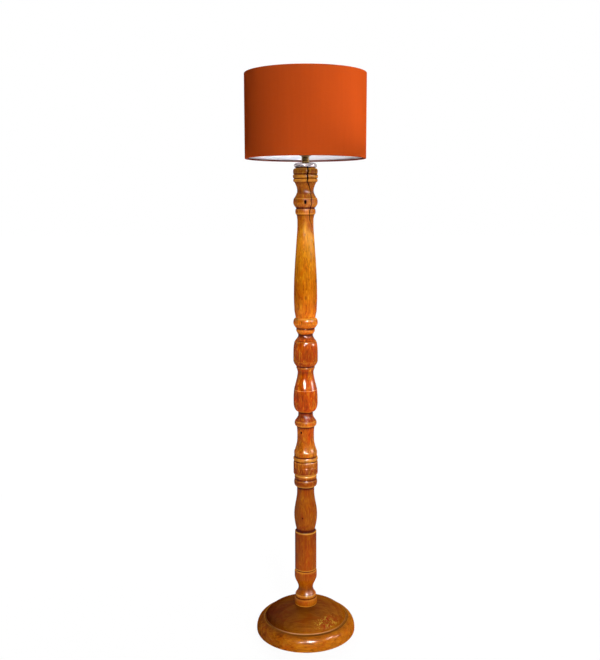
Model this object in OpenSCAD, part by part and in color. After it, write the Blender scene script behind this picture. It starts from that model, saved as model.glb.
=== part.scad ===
/* [Base] */
// Outside radius of the base
base_r = 132.8; // [124:0.1:160]
// Height of the rounded lower edge
base_edge_h = 6; // [2:0.5:8]
// How far the lower edge draws in
base_edge_in = 3.3; // [1:0.1:6]
// Height of the upright land above the lower edge
base_land_h = 2; // [1:0.5:10]
// Height of the rounded shoulder over the land
base_shoulder_h = 30.5; // [22:0.5:45]
// Radius of the groove round the dome
groove_r = 110.5; // [90:0.1:118]
// Width of the groove
groove_w = 1.1; // [0.6:0.1:4]
// Depth of the groove
groove_depth = 3; // [1:0.5:6]
// How far the dome's centre lies below the top of the shoulder
dome_drop = 6; // [4:0.5:12]
// Height of the dome above its centre
dome_rise = 43.3; // [36:0.1:60]
// How far the felt pad stays in from the base's edge
felt_inset = 10.8; // [8:0.1:40]
// Thickness of the felt pad
felt_t = 2; // [1:0.5:5]
// Radius of the nut's recess under the base
recess_r = 22; // [18:0.5:30]
// Depth of the nut's recess
recess_depth = 24; // [20:1:30]
// Width of the wood left bare round the recess
recess_margin = 8; // [2:0.5:20]

/* [Bottom length, from the foot up: _h is a height, _r the radius it reaches] */
// Radius of the foot on the base
foot_seat_r = 28.6; // [20:0.1:40]
// Height of the foot bead
foot_bead_h = 20.6; // [10:0.1:40]
// Radius of the foot bead
foot_bead_r = 30.5; // [28:0.1:45]
// Height of the ring over the foot bead
foot_ring_h = 10.5; // [5:0.1:20]
// Radius of the ring over the foot bead
foot_ring_r = 27.8; // [22:0.1:40]
// Height of the waist over the ring
foot_waist_h = 14.5; // [8:0.1:40]
// Radius of the waist over the ring
foot_waist_r = 19.4; // [15:0.1:26]
// Height of the bell that opens over the waist
bell_h = 34; // [20:0.1:60]
// Radius of the bell
bell_r = 29.8; // [24:0.1:40]
// Height of the bell's plain wall
bell_wall_h = 11; // [3:0.5:40]
// Height of the rounding over the bell
bell_top_h = 7.5; // [4:0.1:20]
// Radius at the end of that rounding
bell_top_r = 26.2; // [20:0.1:38]
// Height of the long sleeve's plain wall
sleeve_h = 103; // [20:0.1:200]
// Radius of the long sleeve
sleeve_r = 28.7; // [24:0.1:40]
// Rounding of the sleeve's two edges
sleeve_round = 2.5; // [1:0.1:4]
// Height of the groove over the sleeve
sleeve_groove_h = 4; // [2:0.1:12]
// Radius in the groove over the sleeve
sleeve_groove_r = 24.6; // [16:0.1:27]
// Height of the low vase's belly
low_vase_h = 40.5; // [20:0.1:80]
// Radius of the low vase's belly
low_vase_r = 30.5; // [25:0.1:42]
// Height of the belly's plain wall
low_vase_wall_h = 3; // [1:0.5:40]
// Height over which the low vase narrows
low_neck_h = 62; // [20:0.1:100]
// Radius of the low vase's neck
low_neck_r = 22.9; // [16:0.1:28]
// Height of the neck's plain wall
low_neck_wall_h = 14; // [2:0.5:40]
// Height of the collar over the low vase
low_collar_h = 19.6; // [10:0.1:40]
// Radius of the collar over the low vase
low_collar_r = 30.6; // [24:0.1:40]
// Height of the bead under the lower joint
low_bead_h = 11.5; // [6:0.1:20]
// Radius of the bead under the lower joint
low_bead_r = 29.3; // [28:0.1:40]
// Radius at the lower joint
low_joint_r = 27.4; // [20:0.1:28]

/* [Middle length, from the lower joint up] */
// Height of the drum's rounded foot
drum_foot_h = 7; // [3:0.1:20]
// Radius of the drum
drum_r = 32.1; // [28:0.1:42]
// Height of the drum's wall under its scored line
drum_low_h = 15.3; // [4:0.1:40]
// Height of the drum's wall over its scored line
drum_high_h = 8.7; // [4:0.1:40]
// Height of the rounding over the drum
drum_top_h = 6; // [3:0.1:16]
// Radius at the end of that rounding
drum_top_r = 30.2; // [22:0.1:34]
// Height of the ring over the drum
drum_ring_h = 10.7; // [6:0.1:20]
// Radius of the ring over the drum
drum_ring_r = 32.3; // [28:0.1:42]
// Height of the trumpet's rounded shoulder
trumpet_top_h = 8; // [4:0.1:20]
// Radius of the trumpet's shoulder
trumpet_r = 30.3; // [24:0.1:40]
// Height of the shoulder's plain wall
trumpet_wall_h = 5.3; // [2:0.1:30]
// Height over which the trumpet narrows
trumpet_neck_h = 37; // [16:0.1:80]
// Radius of the trumpet's neck
trumpet_neck_r = 22; // [15:0.1:28]
// Height of the neck's plain wall
trumpet_land_h = 14; // [2:0.5:40]
// Height of the flare over the trumpet
trumpet_flare_h = 18; // [6:0.1:40]
// Radius of the flare over the trumpet
trumpet_flare_r = 23.6; // [18:0.1:32]
// Height of the collar over the trumpet
mid_collar_h = 15; // [8:0.1:30]
// Radius of the collar over the trumpet
mid_collar_r = 28.9; // [24:0.1:40]
// Height of the waist over the collar
mid_waist_h = 14; // [8:0.1:30]
// Radius of the waist over the collar
mid_waist_r = 19.3; // [13:0.1:25]
// Height of that waist's plain wall
mid_waist_wall_h = 8.5; // [2:0.5:30]
// Height of the urn's round bottom
urn_h = 23.5; // [12:0.1:50]
// Radius of the urn
urn_r = 31.6; // [26:0.1:42]
// Height of the urn's wall
urn_wall_h = 12; // [3:0.5:40]
// Height of the urn's shoulder, up to its scored line
urn_shoulder_h = 23.5; // [8:0.1:50]
// Radius at the urn's scored line
urn_line_r = 30; // [24:0.1:38]
// Height of the urn's straight taper
urn_taper_h = 26.5; // [8:0.1:60]
// Radius at the top of the taper
urn_taper_r = 23.3; // [18:0.1:32]
// Height of the urn's neck
urn_neck_h = 20.5; // [8:0.1:40]
// Radius of the urn's neck
urn_neck_r = 20.6; // [14:0.1:28]
// Radius of the cuffs under and over the barrel
cuff_r = 24; // [20:0.1:34]
// Height of the cuffs' lip
cuff_lip_h = 2.5; // [1:0.1:6]
// Height of the cone of the cuff under the barrel
low_cuff_cone_h = 7.5; // [3:0.1:20]
// Height of the wall of the cuff under the barrel
low_cuff_wall_h = 1.7; // [0.5:0.1:12]
// Height of the barrel's round bottom
barrel_h = 16.8; // [8:0.1:40]
// Radius of the barrel
barrel_r = 31.7; // [26:0.1:42]
// Height of the barrel's wall
barrel_wall_h = 20; // [4:0.5:80]
// Height of the barrel's shoulder, up to its scored line
barrel_shoulder_h = 32; // [12:0.1:60]
// Radius at the barrel's scored line
barrel_line_r = 26; // [20:0.1:36]
// Height of the waist over the barrel
high_waist_h = 13; // [6:0.1:30]
// Radius of the waist over the barrel
high_waist_r = 19.1; // [13:0.1:25]
// Height of that waist's plain wall
high_waist_wall_h = 3.5; // [1:0.5:30]
// Height of the cone of the cuff over the barrel
high_cuff_cone_h = 5; // [3:0.1:20]
// Height of the wall of the cuff over the barrel
high_cuff_wall_h = 5.5; // [0.5:0.1:12]
// Height of the lower half of the bead under the upper joint
high_bead_h = 15; // [8:0.1:30]
// Height of the upper half of that bead
high_bead_top_h = 11.5; // [6:0.1:20]
// Radius of the bead under the upper joint
high_bead_r = 31.6; // [28:0.1:42]
// Radius at the upper joint
high_joint_r = 26.8; // [20:0.1:28]

/* [Top length, from the upper joint up] */
// Height of the long vase's foot
vase_foot_h = 23; // [10:0.1:50]
// Radius at the top of the foot
vase_foot_r = 28.9; // [22:0.1:38]
// Height of the long vase's belly
vase_belly_h = 36; // [16:0.1:80]
// Radius of the long vase's belly
vase_belly_r = 30; // [24:0.1:42]
// Height of the slow narrowing over the belly
vase_shoulder_h = 85; // [20:0.1:150]
// Radius at the top of the slow narrowing
vase_shoulder_r = 26.9; // [20:0.1:36]
// Height of the long vase's straight taper
vase_taper_h = 69; // [20:0.1:150]
// Radius at the top of the taper
vase_taper_r = 22; // [16:0.1:32]
// Height over which the long vase's neck draws in
vase_neck_h = 25; // [10:0.1:60]
// Radius of the long vase's neck
vase_neck_r = 20.6; // [14:0.1:30]
// Height of the neck's plain wall
vase_neck_wall_h = 12; // [2:0.5:40]
// Height of the flare over the neck
vase_flare_h = 15; // [6:0.1:40]
// Radius of the flare over the neck
vase_flare_r = 22.6; // [17:0.1:32]
// Height of the ring under the ball
ball_ring_h = 14.8; // [8:0.1:30]
// Radius of the ring under the ball
ball_ring_r = 25.8; // [20:0.1:36]
// Height of the ball's lower half
ball_low_h = 15.2; // [8:0.1:30]
// Height of the ball's upper half, up to its scored line
ball_high_h = 12; // [6:0.1:30]
// Radius of the ball
ball_r = 31; // [26:0.1:42]
// Radius at the ball's scored line
ball_line_r = 27.2; // [20:0.1:36]
// Height of the waist over the ball
top_waist_h = 16; // [8:0.1:40]
// Radius of the waist over the ball
top_waist_r = 20.9; // [14:0.1:28]
// Height of the flare under the three top beads
top_flare_h = 21.5; // [8:0.1:40]
// Radius of the flare under the three top beads
top_flare_r = 27.6; // [20:0.1:34]
// Height of the lowest top bead
bead_a_h = 9.1; // [6:0.1:20]
// Radius of the lowest top bead
bead_a_r = 31; // [26:0.1:40]
// Height of the middle top bead
bead_b_h = 10; // [6:0.1:20]
// Radius of the middle top bead
bead_b_r = 31.8; // [26:0.1:40]
// Height of the highest top bead
bead_c_h = 14.9; // [8:0.1:30]
// Radius of the highest top bead
bead_c_r = 31.2; // [28:0.1:40]
// Radius of the wood under the cap
cap_seat_r = 27.5; // [22:0.1:28]

/* [Turning] */
// Depth of the cut between two beads
cut_depth = 2.8; // [0.5:0.1:4]
// Depth of a scored line
score_depth = 0.7; // [0.3:0.1:1.5]
// Height of a scored line, and of a narrow step
line_h = 1; // [0.6:0.1:2]
// Share of a collar's height that lies under its crown
crown_share = 0.57; // [0.3:0.01:0.7]
// How far the top length's foot stands in from the joint's edge
joint_step = 1.2; // [0:0.1:3]

/* [Joints of the column] */
// Radius of the spigot under each length
spigot_r = 14; // [10:0.5:15]
// Length of the spigots
spigot_len = 20; // [12:1:30]
// Radius of the threaded tube
tube_r = 5; // [4:0.5:6]
// Wall of the threaded tube
tube_wall = 1.5; // [1:0.1:2]
// Wall of the couplings
coupling_wall = 2; // [1:0.1:2.5]
// Length of the couplings
coupling_len = 30; // [26:1:50]
// Play round the tube, the spigots and the couplings
play = 0.2; // [0.1:0.05:0.4]
// Gap between the ends of two tubes in a coupling
tube_gap = 0.5; // [0.2:0.1:2]
// Thickness of the washers
washer_t = 2; // [1:0.5:3]
// Room round the washers
washer_room = 3; // [1:0.5:5]
// Radius of the nut over its corners
nut_r = 9; // [8:0.5:11]
// Height of the nut
nut_h = 6; // [4:0.5:8]
// How far the tube stands out of the nut
tube_proud = 3; // [1:0.5:4]

/* [Cap and neck] */
// Height of the cap
cap_h = 16; // [12:0.5:30]
// Radius of the cap at its brim
cap_r = 29.3; // [25:0.1:40]
// Radius of the cap where it stands on the wood
cap_foot_r = 21.5; // [18:0.1:22]
// Height of the brim above the wood
cap_brim_h = 7.5; // [4:0.5:9]
// Sheet of the cap
cap_sheet = 1.2; // [0.8:0.1:2]
// Height of the neck
neck_h = 14; // [8:0.5:24]
// Radius of the neck's rings
neck_ring_r = 10; // [9:0.1:12]
// Radius of the neck between its rings
neck_waist_r = 8.4; // [7.6:0.1:9]

/* [Lampholder] */
// How far the cup stands out past the threaded shell
cup_step = 0.4; // [0.2:0.1:1]
// Height of the cup
cup_h = 24; // [22:0.5:36]
// Height of the cup's rounded bottom
cup_bowl_h = 11; // [6:0.5:12]
// Height of the cup's threaded entry
cup_entry_h = 5; // [3:0.5:8]
// Sheet of the cup and of the shell
holder_sheet = 1.4; // [1:0.1:1.6]
// Width of the cup's ledge under the core
ledge_w = 2; // [1:0.1:3]
// Radius of the threaded shell
shell_r = 19.6; // [19:0.1:21]
// Height of the threaded shell
shell_h = 37; // [34:0.5:42]
// Radius of the shoulder that carries the shade
shoulder_r = 24; // [23:0.1:25]
// Height of the shoulder above the cup
shoulder_up = 8.5; // [6:0.5:12]
// Thickness of the shoulder
shoulder_t = 2; // [1:0.1:3]
// Height of the insulating core
core_h = 11; // [8:0.5:14]
// Height of the contact
contact_h = 2.2; // [1:0.1:4]
// Radius of the contact
contact_r = 3; // [2:0.1:4]
// Sheet of the screw shell
screw_wall = 0.8; // [0.5:0.1:1.2]
// Radius of the push bar
bar_r = 2.5; // [2:0.1:3]
// Radius of the push bar's buttons
button_r = 3.7; // [3.2:0.1:5]
// Height of the push bar's buttons
button_h = 3; // [2:0.1:5]
// Height of the push bar above the cup's foot
bar_up = 16.3; // [14:0.1:18]
// Travel of the push bar
bar_travel = 5; // [3:0.5:6]
// Running clearance of the pieces that turn or slide
running = 0.08; // [0.04:0.01:0.1]

/* [Bulb] */
// Radius of the screw cap
bulb_cap_r = 13.2; // [12.8:0.1:13.6]
// Height of the screw cap
bulb_cap_h = 25; // [24:0.5:30]
// Pitch of the screw cap's thread
thread_pitch = 3; // [2.5:0.1:3.5]
// Depth of the screw cap's thread
thread_depth = 0.9; // [0.4:0.1:1.2]
// Radius of the tip
bulb_tip_r = 5; // [4:0.1:6]
// Height of the tip
bulb_tip_h = 3; // [2:0.1:5]
// Radius of the glass ball
bulb_r = 30; // [22:0.5:34]
// Height of the glass
bulb_glass_h = 82; // [70:1:90]

/* [Shade] */
// Radius of the shade
shade_r = 152.5; // [120:0.5:200]
// Height of the shade
shade_h = 207.3; // [170:0.1:280]
// Thickness of the fabric
fabric_t = 0.9; // [0.5:0.1:2]
// Thickness of the liner
liner_t = 0.6; // [0.4:0.1:1]
// How far the rolled hem reaches up inside
hem_h = 4.2; // [4:0.2:15]
// Radius of the rings' wire
wire_r = 1.5; // [1.45:0.05:2.5]
// How far the centre ring's top lies above the shade's lower rim
fitter_recess = 43; // [30:0.5:60]
// Thickness of the centre ring
fitter_t = 2; // [1.5:0.1:3]
// How far the centre ring reaches past the shoulder
fitter_w = 3; // [2.5:0.1:6]
// Radius of the spokes
spoke_r = 1.4; // [1:0.1:1.5]
// Number of spokes
spoke_count = 3; // [3:1:6]
// Height of the retaining ring
retainer_h = 7; // [4:0.5:12]
// Number of grip flutes round the retaining ring
grip_count = 24; // [12:1:40]

/* [Cord outlet] */
// Radius of the cord's way through the grommet
cord_way_r = 3; // [2:0.1:4]
// Height of the outlet above the floor
outlet_z = 11; // [9:0.5:16]
// Radius of the grommet's body
grommet_r = 4.8; // [4.5:0.1:6]
// Radius of the grommet's flange
flange_r = 6.2; // [6.1:0.1:7]
// Thickness of the grommet's flange
flange_t = 2; // [1:0.1:3]
// Length of the grommet's body
grommet_len = 14; // [8:0.5:20]

/* [Hidden] */
$fn = 96;

// Gap between the faces of pieces that turn or slide on each other
seat_gap = 0.3;
// How far a cutting shape runs past the face it opens
past = 1;

// A curve is a number of steps, and a function that gives for a share s of the way
// the share of the rise and the share of the change of radius
straight = [1, function (s) [s, s]];
// Leaves level and ends upright, as the lower half of a bead does
to_upright = [6, function (s) [1 - cos(90 * s), sin(90 * s)]];
// Leaves upright and ends level, as the upper half of a bead does
from_upright = [6, function (s) [sin(90 * s), 1 - cos(90 * s)]];
// The same two, drawn out into a slope
ease_to_upright = [8, function (s) [s, sin(90 * s)]];
ease_from_upright = [8, function (s) [s, 1 - cos(90 * s)]];
// Upright at both ends
ogee = [12, function (s) [s, (1 - cos(180 * s)) / 2]];
// A quarter round in finer steps
crown = [12, from_upright[1]];

// A cut is [rise, radius at its top, curve]
// A bead: out to its crown and back in to a radius
function bead(h, r, top_r, low_share = 0.5) = [
    [h * low_share, r, to_upright],
    [h * (1 - low_share), top_r, from_upright]
];
// A scored line at a radius
function score(r) = [
    [line_h / 2, r - score_depth, straight],
    [line_h / 2, r, straight]
];
// A cuff: a lip, a cone and a wall
function cuff(cone_h, wall_h) = [
    [cuff_lip_h, cuff_r - cut_depth, to_upright],
    [cone_h, cuff_r, straight],
    [wall_h, cuff_r, straight],
    [line_h, cuff_r - score_depth, straight]
];
// The height of a list of cuts, from one of them on
function height(cuts, i = 0) = i == len(cuts) ? 0 : cuts[i][0] + height(cuts, i + 1);
// The outline [radius, height] that the cuts leave, from a first radius and height on
function outline(cuts, r, z, i = 0) =
    i == len(cuts)
    ? [[r, z]]
    : let (rise = cuts[i][0], next_r = cuts[i][1], steps = cuts[i][2][0], curve = cuts[i][2][1])
    concat(
        [for (k = [0:steps - 1]) let (p = curve(k / steps)) [r + (next_r - r) * p[1], z + rise * p[0]]],
        outline(cuts, next_r, z + rise, i + 1)
    );
function reversed(points) = [for (k = [len(points) - 1:-1:0]) points[k]];

// The three lengths, cut by cut
bottom_cuts = concat(
    bead(foot_bead_h, foot_bead_r, foot_ring_r - cut_depth / 2),
    bead(foot_ring_h, foot_ring_r, foot_ring_r - cut_depth),
    score(foot_ring_r - cut_depth),
    [
        [foot_waist_h, foot_waist_r, ease_to_upright],
        [bell_h, bell_r, ogee],
        [bell_wall_h, bell_r, straight],
        [bell_top_h, bell_top_r, from_upright],
        [sleeve_round, sleeve_r, to_upright],
        [sleeve_h, sleeve_r, straight],
        [sleeve_round, sleeve_r - sleeve_round, from_upright],
        [sleeve_groove_h, sleeve_groove_r, straight],
        [low_vase_h, low_vase_r, ease_to_upright],
        [low_vase_wall_h, low_vase_r, straight],
        [low_neck_h, low_neck_r, ogee],
        [low_neck_wall_h, low_neck_r, straight],
        [line_h, low_neck_r + cut_depth, straight]
    ],
    bead(low_collar_h, low_collar_r, low_collar_r - cut_depth, crown_share),
    bead(low_bead_h, low_bead_r, low_joint_r)
);
middle_cuts = concat(
    [
        [drum_foot_h, drum_r, to_upright],
        [drum_low_h, drum_r, straight]
    ],
    score(drum_r),
    [
        [drum_high_h, drum_r, straight],
        [drum_top_h, drum_top_r, from_upright],
        [line_h, drum_top_r - score_depth, straight]
    ],
    bead(drum_ring_h, drum_ring_r, drum_ring_r - cut_depth),
    [
        [trumpet_top_h, trumpet_r, to_upright],
        [trumpet_wall_h, trumpet_r, straight],
        [trumpet_neck_h, trumpet_neck_r, ease_to_upright],
        [trumpet_land_h, trumpet_neck_r, straight],
        [trumpet_flare_h, trumpet_flare_r, ease_from_upright],
        [line_h, trumpet_flare_r + 2 * score_depth, straight]
    ],
    bead(mid_collar_h, mid_collar_r, mid_collar_r - cut_depth, crown_share),
    score(mid_collar_r - cut_depth),
    [
        [mid_waist_h, mid_waist_r, ease_to_upright],
        [mid_waist_wall_h, mid_waist_r, straight],
        [urn_h, urn_r, to_upright],
        [urn_wall_h, urn_r, straight],
        [urn_shoulder_h, urn_line_r, ease_from_upright]
    ],
    score(urn_line_r),
    [
        [urn_taper_h, urn_taper_r, straight],
        [urn_neck_h, urn_neck_r, ease_to_upright]
    ],
    cuff(low_cuff_cone_h, low_cuff_wall_h),
    [
        [barrel_h, barrel_r, ease_to_upright],
        [barrel_wall_h, barrel_r, straight],
        [barrel_shoulder_h, barrel_line_r, from_upright]
    ],
    score(barrel_line_r),
    [
        [high_waist_h, high_waist_r, ease_to_upright],
        [high_waist_wall_h, high_waist_r, straight]
    ],
    cuff(high_cuff_cone_h, high_cuff_wall_h),
    [
        [high_bead_h, high_bead_r, ease_to_upright],
        [high_bead_top_h, high_joint_r, from_upright]
    ]
);
top_cuts = concat(
    [
        [vase_foot_h, vase_foot_r, ogee],
        [vase_belly_h, vase_belly_r, ease_to_upright],
        [vase_shoulder_h, vase_shoulder_r, ease_from_upright],
        [vase_taper_h, vase_taper_r, straight],
        [vase_neck_h, vase_neck_r, ease_to_upright],
        [vase_neck_wall_h, vase_neck_r, straight],
        [vase_flare_h, vase_flare_r, ease_from_upright],
        [line_h, vase_flare_r + 2 * score_depth, straight]
    ],
    bead(ball_ring_h, ball_ring_r, ball_ring_r - cut_depth),
    [
        [ball_low_h, ball_r, ease_to_upright],
        [ball_high_h, ball_line_r, from_upright]
    ],
    score(ball_line_r),
    [
        [top_waist_h, top_waist_r, ease_to_upright],
        [top_flare_h, top_flare_r, ease_from_upright]
    ],
    bead(bead_a_h, bead_a_r, bead_a_r - cut_depth),
    bead(bead_b_h, bead_b_r, bead_b_r - cut_depth),
    bead(bead_c_h, bead_c_r, cap_seat_r)
);

// Heights of the base and of the column's joints
base_z = felt_t;
rim_top_z = base_z + base_edge_h + base_land_h + base_shoulder_h;
dome_z = rim_top_z - dome_drop;
dome_r = groove_r - groove_w / 2;
seat_z = dome_z + dome_rise * sqrt(1 - pow(foot_seat_r / dome_r, 2));
recess_z = base_z + recess_depth;
low_joint_z = seat_z + height(bottom_cuts);
high_joint_z = low_joint_z + height(middle_cuts);
wood_top_z = high_joint_z + height(top_cuts);

// Bores of the column
bore_r = tube_r + play;
thread_r = tube_r + play / 2;
socket_r = spigot_r + play;
socket_depth = spigot_len + seat_gap;
coupling_r = thread_r + coupling_wall;
coupling_bore_r = coupling_r + play;
coupling_up = coupling_len - spigot_len;
// Height above the socket's floor at which two tubes meet
tube_meet = coupling_len / 2;
nut_z = recess_z - washer_t - nut_h;

// Heights of the cap, the lampholder and the bulb
neck_z = wood_top_z + cap_h;
cup_z = neck_z + neck_h;
shell_z = cup_z + cup_h;
cup_r = shell_r + cup_step;
shoulder_z = shell_z + shoulder_up + shoulder_t;
shell_top_z = shell_z + shell_h;
bar_z = cup_z + bar_up;
contact_z = shell_z + core_h;
screw_r = bulb_cap_r + running;
bulb_z = contact_z + contact_h + seat_gap + bulb_tip_h;
glass_z = bulb_z + bulb_cap_h;

// Heights and radii of the shade
fitter_z = shoulder_z + seat_gap;
fitter_bore_r = shell_r + 4 * seat_gap;
fitter_r = shoulder_r + fitter_w;
retainer_z = fitter_z + fitter_t + seat_gap;
shade_z = fitter_z + fitter_t - fitter_recess;
liner_r = shade_r - fabric_t;
wire_ring_r = liner_r - liner_t - wire_r - play / 2;
hem_r = wire_ring_r - wire_r - play / 2;
wire_up = fabric_t + wire_r + play / 2;
spoke_start_r = fitter_r - fitter_w / 2 + spoke_r / 4;

// A ring of material about the vertical axis
module ring(outer_r, inner_r, h) {
    rotate_extrude()
        translate([inner_r, 0])
            square([outer_r - inner_r, h]);
}

// A turned length: its outline, the spigot under it, its bore, the room for a coupling
// below and the socket on top
module turned_length(cuts, foot_r, z, coupled, socketed) {
    top_z = z + height(cuts);
    foot = coupled
        ? [[bore_r, z + coupling_up], [coupling_bore_r, z + coupling_up], [coupling_bore_r, z - spigot_len]]
        : [[bore_r, z - spigot_len]];
    head = socketed
        ? [[socket_r, top_z], [socket_r, top_z - socket_depth], [bore_r, top_z - socket_depth]]
        : [[bore_r, top_z]];
    spigot = [[spigot_r, z - spigot_len], [spigot_r, z]];
    rotate_extrude()
        polygon(concat(foot, spigot, outline(cuts, foot_r, z), head));
}

// A threaded tube between two heights
module lamp_tube(low_z, high_z) {
    translate([0, 0, low_z])
        ring(tube_r, tube_r - tube_wall, high_z - low_z);
}

// A coupling on the floor of the socket below a joint
module coupling(joint_z) {
    translate([0, 0, joint_z - socket_depth])
        ring(coupling_r, thread_r, coupling_len);
}

// Felt pad, open round the nut's recess
module felt_pad() {
    color("darkolivegreen")
        ring(base_r - felt_inset, recess_r + recess_margin, felt_t);
}

// Base: rounded rim, groove and dome, the column's socket, the nut's recess and the cord's way
module base() {
    rim = outline(
        [
            [base_edge_h, base_r, to_upright],
            [base_land_h, base_r, straight],
            [base_shoulder_h, groove_r, crown],
            [-groove_depth, dome_r, straight]
        ],
        base_r - base_edge_in, base_z
    );
    low_angle = acos((groove_r - groove_w) / dome_r);
    high_angle = acos(foot_seat_r / dome_r);
    steps = 20;
    dome = [for (k = [0:steps]) let (a = low_angle + (high_angle - low_angle) * k / steps)
        [dome_r * cos(a), dome_z + dome_rise * sin(a)]];
    middle = [
        [socket_r, seat_z],
        [socket_r, seat_z - socket_depth],
        [bore_r, seat_z - socket_depth],
        [bore_r, recess_z],
        [recess_r, recess_z],
        [recess_r, base_z]
    ];
    color("saddlebrown")
        difference() {
            rotate_extrude()
                polygon(concat(rim, dome, middle));
            translate([0, 0, outlet_z])
                rotate([-90, 0, 0])
                    cylinder(r = grommet_r + play / 2, h = base_r + past);
            translate([0, base_r - flange_t / 2, outlet_z])
                rotate([-90, 0, 0])
                    cylinder(r = flange_r + play, h = flange_t);
        }
}

// Grommet of the cord's way, its flange let half into the back of the rim
module cord_grommet() {
    color("black")
        translate([0, base_r - flange_t / 2, outlet_z])
            rotate([-90, 0, 0])
                difference() {
                    union() {
                        translate([0, 0, -grommet_len])
                            cylinder(r = grommet_r, h = grommet_len + flange_t);
                        cylinder(r = flange_r, h = flange_t);
                    }
                    translate([0, 0, -grommet_len - past])
                        cylinder(r = cord_way_r, h = grommet_len + flange_t + 2 * past);
                }
}

module base_washer() {
    color("silver")
        translate([0, 0, recess_z - washer_t])
            ring(recess_r - washer_room, bore_r, washer_t);
}

module base_nut() {
    color("silver")
        translate([0, 0, nut_z])
            difference() {
                cylinder(r = nut_r, h = nut_h, $fn = 6);
                translate([0, 0, -past])
                    cylinder(r = thread_r, h = nut_h + 2 * past);
            }
}

module bottom_length() {
    color("sienna")
        turned_length(bottom_cuts, foot_seat_r, seat_z, false, true);
}

module middle_length() {
    color("chocolate")
        turned_length(middle_cuts, low_joint_r, low_joint_z, true, true);
}

module top_length() {
    color("peru")
        turned_length(top_cuts, high_joint_r - joint_step, high_joint_z, true, false);
}

module bottom_tube() {
    color("silver")
        lamp_tube(nut_z - tube_proud, low_joint_z - socket_depth + tube_meet);
}

module middle_tube() {
    color("silver")
        lamp_tube(low_joint_z - socket_depth + tube_meet + tube_gap, high_joint_z - socket_depth + tube_meet);
}

module top_tube() {
    color("silver")
        lamp_tube(high_joint_z - socket_depth + tube_meet + tube_gap, cup_z + cup_entry_h);
}

module lower_coupling() {
    color("silver")
        coupling(low_joint_z);
}

module upper_coupling() {
    color("silver")
        coupling(high_joint_z);
}

// Washer between the wood and the cap's hub
module cap_washer() {
    color("silver")
        translate([0, 0, wood_top_z])
            ring(cap_foot_r - cap_sheet - washer_room, bore_r, washer_t);
}

// Cap: a spun shell with a hub that stands on the washer
module vase_cap() {
    hub_r = neck_ring_r;
    crown_h = cap_h - cap_brim_h;
    outside = outline(
        [[cap_brim_h, cap_r, to_upright], [crown_h, hub_r, from_upright]],
        cap_foot_r, wood_top_z
    );
    inside = outline(
        [[cap_brim_h, cap_r - cap_sheet, to_upright], [crown_h - cap_sheet, hub_r - cap_sheet, from_upright]],
        cap_foot_r - cap_sheet, wood_top_z
    );
    hub = [
        [bore_r, neck_z],
        [bore_r, wood_top_z + washer_t],
        [hub_r - cap_sheet, wood_top_z + washer_t]
    ];
    color("gainsboro")
        rotate_extrude()
            polygon(concat(reversed(inside), outside, hub));
}

// Neck: three rings on a waist
module brass_neck() {
    ring_h = neck_h / 5;
    color("darkgoldenrod")
        translate([0, 0, neck_z])
            difference() {
                union() {
                    cylinder(r = neck_waist_r, h = neck_h);
                    for (k = [0:2])
                        translate([0, 0, 2 * k * ring_h])
                            cylinder(r = neck_ring_r, h = ring_h);
                }
                translate([0, 0, -past])
                    cylinder(r = bore_r, h = neck_h + 2 * past);
            }
}

// Cup of the lampholder, with its threaded entry, a ledge for the core and the push bar's holes
module holder_cup() {
    entry_r = neck_waist_r;
    inner_r = cup_r - holder_sheet;
    outside = outline(
        [[cup_bowl_h, cup_r, to_upright], [cup_h - cup_bowl_h, cup_r, straight]],
        entry_r, cup_z
    );
    inside = outline(
        [[cup_bowl_h - holder_sheet, inner_r, to_upright]],
        entry_r, cup_z + holder_sheet
    );
    ledge = [
        [inner_r - ledge_w, shell_z],
        [inner_r - ledge_w, shell_z - holder_sheet],
        [inner_r, shell_z - holder_sheet]
    ];
    entry = [[entry_r, cup_z + cup_entry_h], [thread_r, cup_z + cup_entry_h], [thread_r, cup_z]];
    color("darkgoldenrod")
        difference() {
            rotate_extrude()
                polygon(concat(outside, ledge, reversed(inside), entry));
            translate([-cup_r - past, 0, bar_z])
                rotate([0, 90, 0])
                    cylinder(r = bar_r + running, h = 2 * (cup_r + past));
        }
}

// Threaded shell of the lampholder, with the shoulder that carries the shade
module holder_shell() {
    inner_r = shell_r - holder_sheet;
    mouth_r = screw_r + screw_wall + play;
    collar_h = 2;
    color("darkgoldenrod")
        rotate_extrude()
            polygon([
                [inner_r, shell_z],
                [cup_r, shell_z],
                [cup_r, shell_z + collar_h],
                [shell_r, shell_z + collar_h],
                [shell_r, shoulder_z - shoulder_t],
                [shoulder_r, shoulder_z - shoulder_t],
                [shoulder_r, shoulder_z],
                [shell_r, shoulder_z],
                [shell_r, shell_top_z],
                [mouth_r, shell_top_z],
                [mouth_r, shell_top_z - holder_sheet],
                [inner_r, shell_top_z - holder_sheet]
            ]);
}

// Insulating core, with the two holes for the leads
module insulator() {
    core_r = shell_r - holder_sheet - play;
    lead_r = 1.6;
    color("whitesmoke")
        translate([0, 0, shell_z])
            difference() {
                cylinder(r = core_r, h = core_h);
                for (side = [-1, 1])
                    translate([side * core_r / 2, 0, -past])
                        cylinder(r = lead_r, h = core_h + 2 * past);
            }
}

module screw_shell() {
    color("gold")
        translate([0, 0, contact_z])
            ring(screw_r + screw_wall, screw_r, shell_top_z - contact_z);
}

module centre_contact() {
    color("gold")
        translate([0, 0, contact_z])
            cylinder(r = contact_r, h = contact_h);
}

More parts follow.
